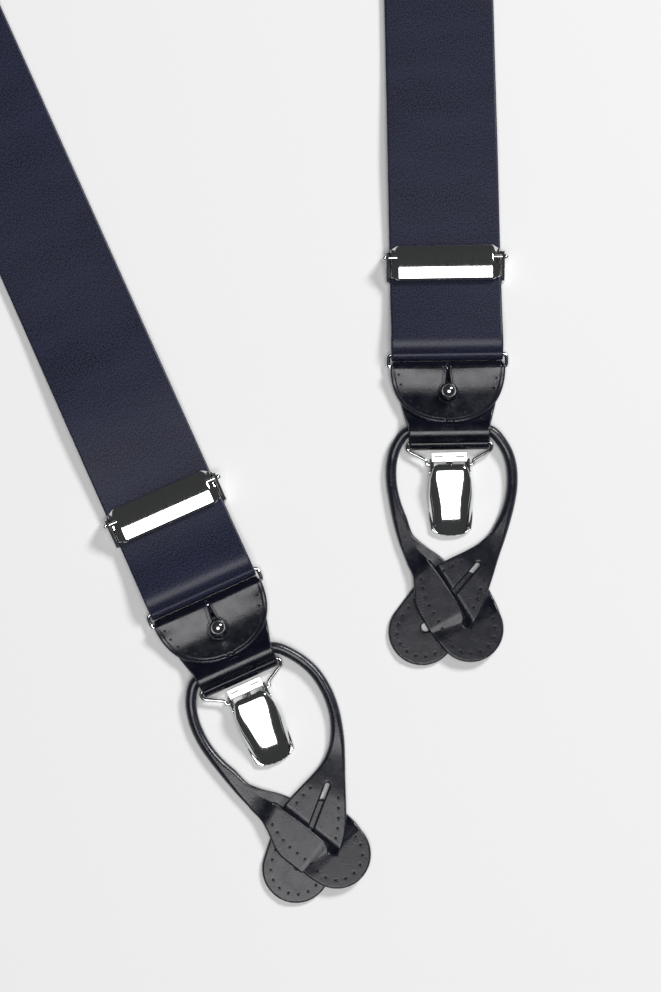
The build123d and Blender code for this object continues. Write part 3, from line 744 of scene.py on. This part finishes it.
# ---- button loops ----------------------------------------------------------------------------------
# plan points of each loop from the left tab's tip, up its cord, through the tunnel and down to the
# right tab's tip
LOOPS = {
    "right": dict(
        left=[(9.2, -93.8), (5.0, -84.2), (3.3, -80.0), (-0.6, -72.6), (-5.6, -65.0), (-9.6, -60.6),
              (-13.1, -56.0), (-15.6, -50.6), (-17.4, -43.9), (-18.3, -37.5), (-18.0, -31.6), (-16.4, -26.6)],
        right=[(17.2, -27.6), (19.1, -33.0), (19.3, -39.5), (18.2, -45.6), (16.2, -51.4), (13.3, -57.2),
               (8.4, -63.9), (0.0, -73.4), (-9.6, -84.8), (-16.4, -92.8)],
    ),
    "left": dict(
        left=[(8.4, -97.8), (4.9, -88.0), (3.6, -83.8), (-0.8, -75.0), (-5.4, -67.4), (-9.6, -62.2),
              (-13.2, -56.8), (-16.2, -49.6), (-18.0, -43.0), (-18.6, -37.0), (-18.1, -31.6), (-16.4, -26.6)],
        right=[(18.2, -28.0), (21.4, -34.4), (22.5, -41.4), (22.0, -48.2), (20.1, -54.6), (17.2, -60.2),
               (12.4, -66.2), (1.6, -77.0), (-8.0, -86.8), (-15.2, -94.4)],
    ),
}
LOOPS["rear"] = LOOPS["left"]
TUNNEL_RUN = [(x, TUNNEL_Y) for x in (-13.0, -7.0, 7.0, 13.0)]
# half width of a tab at each distance from its tip, from the paddle to the cord
TAB_WIDTHS = [(10.4, 10.4, 0), (16, 10.6, 0), (23, 10.7, 0), (28, 9.7, 0), (33, 7.8, 0), (38, 5.7, 0),
              (42.5, 4.0, 0), (47, 2.85, 0), (52, 2.15, 0), (59, 1.7, 0), (70, CORD_HALF, 0)]
PADDLE = 10.4
BUTTONHOLE = 1.4
BUTTONHOLE_RUN = 12.2
SLIT_START = 12.0
LEFT_SLIT_END = 35.0
RIGHT_SLIT_END = 37.6
HIGH, LOW = 2.8, 0.95
CORD_Z = 1.68
SEAM_INSET = 2.6


def tab_half(from_tip):
    """Half a tab's width: the paddle's round end, a circle about its middle, then the width knots."""
    knots = smooth_line(TAB_WIDTHS)
    tip = np.sqrt(np.maximum(0, PADDLE ** 2 - (PADDLE - from_tip) ** 2))
    return np.maximum(np.where(from_tip < PADDLE, tip, np.interp(from_tip, knots[:, 0], knots[:, 1])), 0.02)


def tab_marks(total):
    """Needle marks on both tabs, SEAM_INSET in from the edge."""
    reach = np.linspace(0.0, 36.0, 500)
    tip = np.sqrt(np.maximum(0, (PADDLE - SEAM_INSET) ** 2 - (PADDLE - reach) ** 2))
    side = np.where(reach < PADDLE, tip, tab_half(reach) - SEAM_INSET)
    keep = (side > 0) & (reach > SEAM_INSET)
    inner, outward = reach[keep][::-1], side[keep][::-1]
    seam = np.concatenate([inner, inner[::-1]])
    edge = np.concatenate([outward, -outward[::-1]])
    return np.vstack([even_marks(seam, edge), even_marks(total - seam, edge)])


def make_loop(end):
    """The rolled loop and its two crossed tabs, cut as one piece.

    Width and thickness change along the run: flat tabs 1.7 thick at both ends, a round cord between.
    Left tab: one side of its slit passes over the right tab, the other side under it.
    """
    plan = np.array(LOOPS[end]["left"] + TUNNEL_RUN + LOOPS[end]["right"], float)
    line = smooth_line(np.hstack([plan, np.zeros((len(plan), 1))]))
    total = run_along(line)[-1]
    tip = tip_rows(PADDLE, 0.3)
    run = np.concatenate([tip, spaced((10.6, 48, 0.36), (48, total - 48, 0.9),
                                      (total - 48, total - 10.6, 0.36)), total - tip[::-1]])
    from_tip = np.minimum(run, total - run)
    half = tab_half(from_tip)
    left_tab = run < total / 2
    low = -half - 1.4 * left_tab * ease(from_tip, 8, 15) * (1 - ease(from_tip, 24, 34))
    high = half * (1 - 0.5 * left_tab * ease(from_tip, 21, 31) * (1 - ease(from_tip, 44, 52)))
    y = follow(line, run)[0][:, 1]
    rise = np.interp(y, (-40, -31, TUNNEL_Y), (CORD_Z, 1.9, TUNNEL_Z)) * (from_tip > 30)
    rolled = ease(from_tip, 36, 58)
    left_slit = np.where((run > SLIT_START) & (run < LEFT_SLIT_END), 0.14, 0)
    right_slit = np.where((total - run > SLIT_START) & (total - run < RIGHT_SLIT_END), 0.65, 0)
    hole = np.sqrt(np.maximum(0, BUTTONHOLE ** 2 - (from_tip - BUTTONHOLE_RUN) ** 2))
    foot, head = follow(line, np.array([SLIT_START, LEFT_SLIT_END]))[0][:, :2]
    way = (head - foot) / np.linalg.norm(head - foot)

    def height(s, u, middle):
        """Height of the sheet's middle over the table: the weave of the two tabs, then the cord."""
        past = (middle[..., :2] - foot) @ np.array((way[1], -way[0]))
        cord = np.maximum(np.interp(s[:, 0], run, rise)[:, None], CORD_Z)
        side = np.where(u < 0, 1.0, -1.0) * ease(s, 11.0, 16.0) * (1 - ease(s, 33.0, 42.0))
        weave = (HIGH + LOW) / 2 + side * (HIGH - LOW) / 2
        paddle = 2.35 - 0.05 * u
        left = paddle + (weave - paddle) * ease(s, 10.0, 17.0)
        left = left + (cord - left) * ease(s, 33.0, 50.0)
        right = LOW + (HIGH - LOW) * ease(past, -2.4, 2.4)
        right = right + (cord - right) * ease(total - s, 34.0, 50.0)
        return np.where(s < total / 2, left, right)

    piece = sheet_piece(end + "_leather_loop", end, line, run, low, high,
                        TAB_HALF + (CORD_HALF - TAB_HALF) * rolled,
                        LEATHER_EDGE + (CORD_HALF - LEATHER_EDGE) * rolled, power=2.1,
                        gap=np.maximum(np.maximum(left_slit, right_slit), hole), lift=height,
                        dents=tab_marks(total), dent=(0.38, 0.05), columns=48)
    dress(piece, "leather")
    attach(piece, end + "_loop_body")
    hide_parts(end + "_button_loop")


class SUSPENDERS_OT_loops(bpy.types.Operator):
    """Make the rolled leather loops with their crossed button tabs"""
    bl_idname = "suspenders.loops"
    bl_label = "Button loops"

    def execute(self, context):
        for end in ENDS:
            make_loop(end)
        return {"FINISHED"}


# ---- metal -----------------------------------------------------------------------------------------
def make_ring(end):
    """The rectangular wire ring."""
    corners = [(-RING_HALF, RING_UPPER_Y, RING_Z), (RING_HALF, RING_UPPER_Y, RING_Z),
               (RING_HALF, RING_LOWER_Y, RING_Z), (-RING_HALF, RING_LOWER_Y, RING_Z)]
    line = rounded_line(corners, RING_CORNER, closed=True)
    piece = wire_piece(end + "_wire_ring", end, line, RING_WIRE, closed=True)
    dress(piece, "chrome")
    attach(piece, end + "_end")
    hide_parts(end + "_ring")


def make_stud(end):
    """The ball stud: rivet head, shank, collar and ball as one turned profile."""
    turn = np.linspace(-1.08, pi / 2, 28)
    top = [(STUD_BALL * cos(a), STUD_BALL_Z + STUD_BALL * sin(a)) for a in turn]
    profile = [(0, 0.06), (2.9, 0.06), (3.3, 0.2), (3.3, 0.5), (1.2, 0.7), (1.2, 2.86), (2.4, 2.88),
               (2.5, 3.0), (2.45, 3.2), (1.25, 3.35), (1.2, 4.6)] + top
    piece = turned_piece(end + "_ball_stud", end, profile, (0, STUD_Y, 0))
    dress(piece, "dark_chrome")
    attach(piece, end + "_end")
    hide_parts(end + "_stud")


def make_bail(end):
    """The wire bail, with its ends turned in through the clip's ears."""
    arm = [(5.65, -33.0, 2.4), (7.3, -33.0, 2.4), (7.3, -31.6, 2.5), (13.2, -28.4, 2.3),
           (13.2, BAIL_Y, BAIL_Z)]
    corners = [(-x, y, z) for x, y, z in arm] + arm[::-1]
    piece = wire_piece(end + "_wire_bail", end, rounded_line(corners, 1.3), BAIL_WIRE)
    dress(piece, "chrome")
    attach(piece, end + "_bail_body")
    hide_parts(end + "_bail")


FOOT_RUN = 1.8
BACK_PLATE_CLEAR = 1.35


def make_cover(end):
    """The domed lever: crowned along and across, its sides pressed down to a thin rim."""
    line = np.array([(0, y, 0) for y in np.linspace(CLIP_BOTTOM, CLIP_TOP, 60)])
    length = CLIP_TOP - CLIP_BOTTOM
    run = np.concatenate([tip_rows(2.4, 0.12), spaced((2.6, length - 1.2, 0.4)),
                          length - tip_rows(1.0, 0.12)[::-1]])
    width = np.interp(-(CLIP_BOTTOM + run), (33.4, 33.8, 34.6, 36, 38, 43.5, 50, 53.4),
                      (3.9, 4.8, 5.4, 5.85, 6.45, 6.95, 6.7, 6.2))
    crown_line = smooth_line([(-57.0, 0.2), (-55.2, 1.4), (-53.2, 2.5), (-50.5, 3.8), (-47.2, 4.7),
                              (-43.8, 5.4), (-40.4, 5.88), (-37.0, 6.27), (-35.2, 6.44), (-34.3, 6.3),
                              (-33.4, 5.7), (-32.4, 4.4)])
    foot = 6.1 * np.sqrt(np.clip(run / FOOT_RUN, 0.0, 1)) ** 0.7
    half = np.where(run < FOOT_RUN, np.maximum(foot, 0.05), width)

    def dome(s, u, middle):
        """Height: a crown line less c u^4, where c grows to the foot, and never below the back plate."""
        crown = np.interp(middle[..., 1], crown_line[:, 0], crown_line[:, 1])
        steep = 0.00045 + 0.0013 * ease(-middle[..., 1], 37, 51)
        rim = 0.5 * (np.abs(u) / np.maximum(np.interp(s[:, 0], run, half)[:, None], 4.0)) ** 14
        return np.maximum(crown - steep * u ** 4 - rim, BACK_PLATE_CLEAR)

    piece = sheet_piece(end + "_clip_dome", end, line, run, -half, half, COVER_HALF, COVER_HALF, power=2.0,
                        lift=dome, columns=34)
    dress(piece, "chrome")
    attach(piece, end + "_clip_lever")
    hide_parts(end + "_clip_cover")


CHEEK = 17.2


def make_adjuster_plate(end):
    """The adjuster's plate: straight rise from its lower edge, round crest, slow fall, drooping cheeks."""
    line = smooth_line([(0, 25.35, 5.3), (0, 25.6, 5.85), (0, 26.4, 6.2), (0, 27.6, 6.5), (0, 28.5, 6.73),
                        (0, 29.4, 6.88), (0, 30.5, 6.92), (0, 32.4, 6.76), (0, 34.0, 6.35), (0, 35.3, 5.85),
                        (0, 36.2, 5.35), (0, 36.5, 4.95)])
    total = run_along(line)[-1]
    tip = tip_rows(1.2, 0.1)
    run = np.concatenate([tip, spaced((1.3, total - 1.3, 0.25)), total - tip[::-1]])
    piece = sheet_piece(end + "_adjuster_cover", end, line, run, -CHEEK, CHEEK, PLATE_HALF, PLATE_HALF,
                        power=2.0, lift=lambda s, u, middle: -1.3 * ease(np.abs(u), 14.6, CHEEK), columns=72)
    dress(piece, "chrome")
    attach(piece, end + "_adjuster_lever")
    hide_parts(end + "_adjuster_plate")


class SUSPENDERS_OT_metal(bpy.types.Operator):
    """Make the rings, ball studs, bails and clip levers, and plate the other metal parts"""
    bl_idname = "suspenders.metal"
    bl_label = "Metal parts"

    def execute(self, context):
        for end in ENDS:
            make_ring(end)
            make_stud(end)
            make_bail(end)
            make_cover(end)
        for end in FRONTS:
            make_adjuster_plate(end)
        for name, node in frame["nodes"].items():
            if name.endswith("clip_jaw"):
                dress(node, "rubber")
            elif name.endswith(("clip_base", "clip_pin", "adjuster_frame", "adjuster_pin")):
                dress(node, "chrome")
        return {"FINISHED"}


# ---- back patch ------------------------------------------------------------------------------------
def patch_half(y):
    """Half the patch's width at height y: a shield with hollow sides."""
    knots = smooth_line([(-38, 42.0), (-30, 44.0), (-17, 45.0), (4, 27.0), (30, 21.0), (40, 21.0)])
    return np.interp(y, knots[:, 0], knots[:, 1])


def patch_way():
    """The patch's long direction: it runs along the rear strap."""
    return -end_place("rear")[2]


def strap_cover(points):
    """How far a strap lies under each patch point: 1 inside the strap's band, easing to 0 beyond it."""
    cover = np.zeros(points.shape[:-1])
    for end in ENDS:
        plan, length = strap_plan(end)
        last = follow(plan, np.array([length - 80.0, length]))[0]
        foot, far = to_world(last, end)[:, :2]
        way = (far - foot) / np.linalg.norm(far - foot)
        off = (points[..., :2] - far) / MM
        aside = np.abs(off @ np.array((-way[1], way[0])))
        cover = np.maximum(cover, (1 - ease(aside, 16.5, 20.5)) * (1 - ease(off @ way, -1.0, 3.0)))
    return cover


LINING_HALF = 0.86
LINING_Z = 0.875
FRONT_Z = 2.45
FRONT_GROOVE = (1.1, 0.12, 0.3)
STITCH_INSET = 3.0
STITCH_PITCH = 3.0
STITCH = (1.0, 0.28, 0.2)


class SUSPENDERS_OT_patch(bpy.types.Operator):
    """Make the leather back patch: its lining, its raised front and its stitches"""
    bl_idname = "suspenders.patch"
    bl_label = "Back patch"

    def execute(self, context):
        middle = PATCH_HEIGHT / 2
        line = np.array([t * patch_way() for t in np.linspace(-middle, middle, 40)])
        run = spaced((0, 1.4, 0.12), (1.4, PATCH_HEIGHT - 1.4, 0.6), (PATCH_HEIGHT - 1.4, PATCH_HEIGHT, 0.12))
        half = patch_half(run - middle)
        lining = sheet_piece("patch_lining_leather", None, line, run, -half, half, LINING_HALF, 0.7, columns=70,
                             lift=lambda s, u, place: np.full(u.shape, LINING_Z))
        front = sheet_piece("patch_front_leather", None, line, run, -half, half, LEATHER_HALF, LEATHER_EDGE,
                            columns=86, lift=lambda s, u, place: FRONT_Z + strap_cover(place * MM),
                            groove=FRONT_GROOVE)
        for piece, node in ((lining, "back_patch_lining"), (front, "back_patch_front")):
            dress(piece, "leather")
            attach(piece, "root")
            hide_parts(node)
        self.stitches()
        return {"FINISHED"}

    def stitches(self):
        """Thread runs 2 mm long on the front leather: a squashed ellipsoid carried to each mark."""
        up_run = np.linspace(STITCH_INSET, PATCH_HEIGHT - STITCH_INSET, 200)
        half = patch_half(up_run - PATCH_HEIGHT / 2) - STITCH_INSET
        seam = np.concatenate([np.stack([up_run, half], 1), np.stack([up_run, -half], 1)[::-1],
                               [(STITCH_INSET, half[0])]])
        place, way = follow(seam, np.arange(1.5, run_along(seam)[-1] - 1, STITCH_PITCH))
        along = patch_way()
        across = np.cross(along, UP)
        plan = (place[:, :1] - PATCH_HEIGHT / 2) * along + place[:, 1:] * across
        height = FRONT_Z + LEATHER_HALF - 0.02 + strap_cover(plan * MM)
        long_way = way[:, :1] * along + way[:, 1:] * across
        frames = np.stack([long_way, np.cross(UP, long_way), np.broadcast_to(UP, long_way.shape)], 1)
        around = np.linspace(0, 2 * pi, 8, endpoint=False)
        lengthways = np.linspace(-1, 1, 6)
        girth = np.sqrt(np.maximum(0, 1 - lengthways ** 2))[:, None]
        ball = np.stack([np.broadcast_to(lengthways[:, None], (6, 8)), girth * np.cos(around),
                         girth * np.sin(around)], -1) * STITCH
        centre = np.hstack([plan[:, :2], height[:, None]])[:, None, None]
        points = (centre + np.einsum("abk,nkc->nabc", ball, frames)).reshape(-1, 3) * MM
        one = grid_faces(np.arange(48).reshape(6, 8), True)
        faces = (one[None] + 48 * np.arange(len(plan))[:, None, None]).reshape(-1, 4)
        piece = finished_mesh("patch_stitches", points, faces[:, ::-1], {})
        dress(piece, "thread")
        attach(piece, "root")


# ---- stage -----------------------------------------------------------------------------------------
class SUSPENDERS_OT_stage(bpy.types.Operator):
    """Set up the pale floor, the soft lights and the camera"""
    bl_idname = "suspenders.stage"
    bl_label = "Stage"

    def execute(self, context):
        scene = context.scene
        look = scene.suspender_stage
        edge = look.floor_size / 2
        mesh = bpy.data.meshes.new("studio_floor")
        corners = [(-edge, -edge, 0), (edge, -edge, 0), (edge, edge, 0), (-edge, edge, 0)]
        mesh.from_pydata(corners, [], [(0, 1, 2, 3)])
        floor = bpy.data.objects.new("studio_floor", mesh)
        floor.data.materials.append(painted_board((*look.floor_colour, 1)))
        scene.collection.objects.link(floor)

        target = np.array(look.target)
        tilt = radians(look.elevation)
        camera = bpy.data.objects.new("camera", bpy.data.cameras.new("camera"))
        camera.location = target + look.distance * np.array((0, -cos(tilt), sin(tilt)))
        camera.rotation_euler = (pi / 2 - tilt, 0, 0)
        camera.data.lens = look.lens
        camera.data.sensor_width = 36
        camera.data.clip_start = 0.01
        camera.data.clip_end = 20
        scene.collection.objects.link(camera)
        scene.camera = camera

        for name, place, size, power in (
            ("overhead_softbox", (0.05, -0.66, 2.4), (1.45, 1.4), look.key_power),
            ("corner_softbox", (1.25, 1.35, 1.75), (0.6, 0.6), look.fill_power),
        ):
            lamp = bpy.data.objects.new(name, bpy.data.lights.new(name, "AREA"))
            lamp.data.shape = "RECTANGLE"
            lamp.data.size, lamp.data.size_y = size
            lamp.data.energy = power
            lamp.location = target + np.array(place)
            aim = np.array(place) / np.linalg.norm(place)
            lamp.rotation_euler = (np.arccos(aim[2]), 0, np.arctan2(aim[0], -aim[1]))
            scene.collection.objects.link(lamp)

        world = bpy.data.worlds.new("studio")
        world.use_nodes = True
        world.node_tree.nodes["Background"].inputs["Color"].default_value = (1, 1, 1, 1)
        world.node_tree.nodes["Background"].inputs["Strength"].default_value = look.world_light
        scene.world = world
        scene.view_settings.view_transform = "Standard"
        return {"FINISHED"}


# ---- settings, panel and registering ---------------------------------------------------------------
class SuspenderSizes(bpy.types.PropertyGroup):
    """Sizes of the cloth"""
    strap_width: bpy.props.FloatProperty(
        name="Strap width", description="Width of the satin straps", default=0.035, unit="LENGTH")
    strap_thickness: bpy.props.FloatProperty(
        name="Strap thickness", description="Thickness of the folded satin", default=0.001, unit="LENGTH")


class SuspenderColours(bpy.types.PropertyGroup):
    """Colours of the cloth, leather and metal"""
    satin_dark: bpy.props.FloatVectorProperty(
        name="Satin, dark", description="Colour between the floats", default=linear("#08090f")[:3],
        subtype="COLOR", min=0, max=1)
    satin_light: bpy.props.FloatVectorProperty(
        name="Satin, light", description="Colour on the floats", default=linear("#2e3147")[:3],
        subtype="COLOR", min=0, max=1)
    leather: bpy.props.FloatVectorProperty(
        name="Leather", description="Face of the leather", default=linear("#0a0c18")[:3], subtype="COLOR",
        min=0, max=1)
    leather_edge: bpy.props.FloatVectorProperty(
        name="Leather edge", description="Painted cut edge", default=linear("#22252f")[:3], subtype="COLOR",
        min=0, max=1)
    chrome: bpy.props.FloatVectorProperty(
        name="Chrome", description="Plated metal", default=linear("#d9dbdd")[:3], subtype="COLOR",
        min=0, max=1)


class SuspenderStage(bpy.types.PropertyGroup):
    """Camera, floor and lights"""
    floor_size: bpy.props.FloatProperty(
        name="Floor size", description="Side of the square floor", default=30.0, unit="LENGTH")
    floor_colour: bpy.props.FloatVectorProperty(
        name="Floor", description="Colour of the floor", default=linear("#eeeeee")[:3], subtype="COLOR",
        min=0, max=1)
    target: bpy.props.FloatVectorProperty(
        name="Target", description="Point between the two clips that the camera looks at",
        default=(0.29678, -0.5796, 0.0), subtype="XYZ", unit="LENGTH")
    distance: bpy.props.FloatProperty(
        name="Distance", description="From the camera to the target", default=0.772, unit="LENGTH")
    elevation: bpy.props.FloatProperty(
        name="Elevation", description="Camera angle above the table, in degrees", default=81.0)
    lens: bpy.props.FloatProperty(name="Lens", description="Focal length in millimetres", default=89.88)
    key_power: bpy.props.FloatProperty(
        name="Overhead light", description="Power of the overhead softbox", default=38.0, unit="POWER")
    fill_power: bpy.props.FloatProperty(
        name="Corner light", description="Power of the corner softbox", default=40.0, unit="POWER")
    world_light: bpy.props.FloatProperty(name="World light", description="Light from all round", default=0.05)


class SUSPENDERS_PT_panel(bpy.types.Panel):
    """Lists the operators that make the suspenders"""
    bl_idname = "SUSPENDERS_PT_panel"
    bl_label = "Suspenders"
    bl_space_type = "VIEW_3D"
    bl_region_type = "UI"
    bl_category = "Suspenders"

    def draw(self, context):
        for operator in OPERATORS:
            self.layout.operator(operator.bl_idname)


OPERATORS = (SUSPENDERS_OT_stage, SUSPENDERS_OT_straps, SUSPENDERS_OT_leather, SUSPENDERS_OT_loops,
             SUSPENDERS_OT_metal, SUSPENDERS_OT_patch)
GROUPS = {"suspender_sizes": SuspenderSizes, "suspender_colours": SuspenderColours,
          "suspender_stage": SuspenderStage}


def register():
    """Register the classes and hang the settings on the scene."""
    for kind in (*GROUPS.values(), *OPERATORS, SUSPENDERS_PT_panel):
        bpy.utils.register_class(kind)
    for name, group in GROUPS.items():
        setattr(bpy.types.Scene, name, bpy.props.PointerProperty(type=group))


def unregister():
    """Take the settings off the scene and unregister the classes."""
    for name in GROUPS:
        delattr(bpy.types.Scene, name)
    for kind in (SUSPENDERS_PT_panel, *reversed(OPERATORS), *reversed(GROUPS.values())):
        bpy.utils.unregister_class(kind)


def main():
    register()
    bpy.ops.suspenders.stage()
    bpy.ops.suspenders.straps()
    bpy.ops.suspenders.leather()
    bpy.ops.suspenders.loops()
    bpy.ops.suspenders.metal()
    bpy.ops.suspenders.patch()


if __name__ == "__main__":
    main()
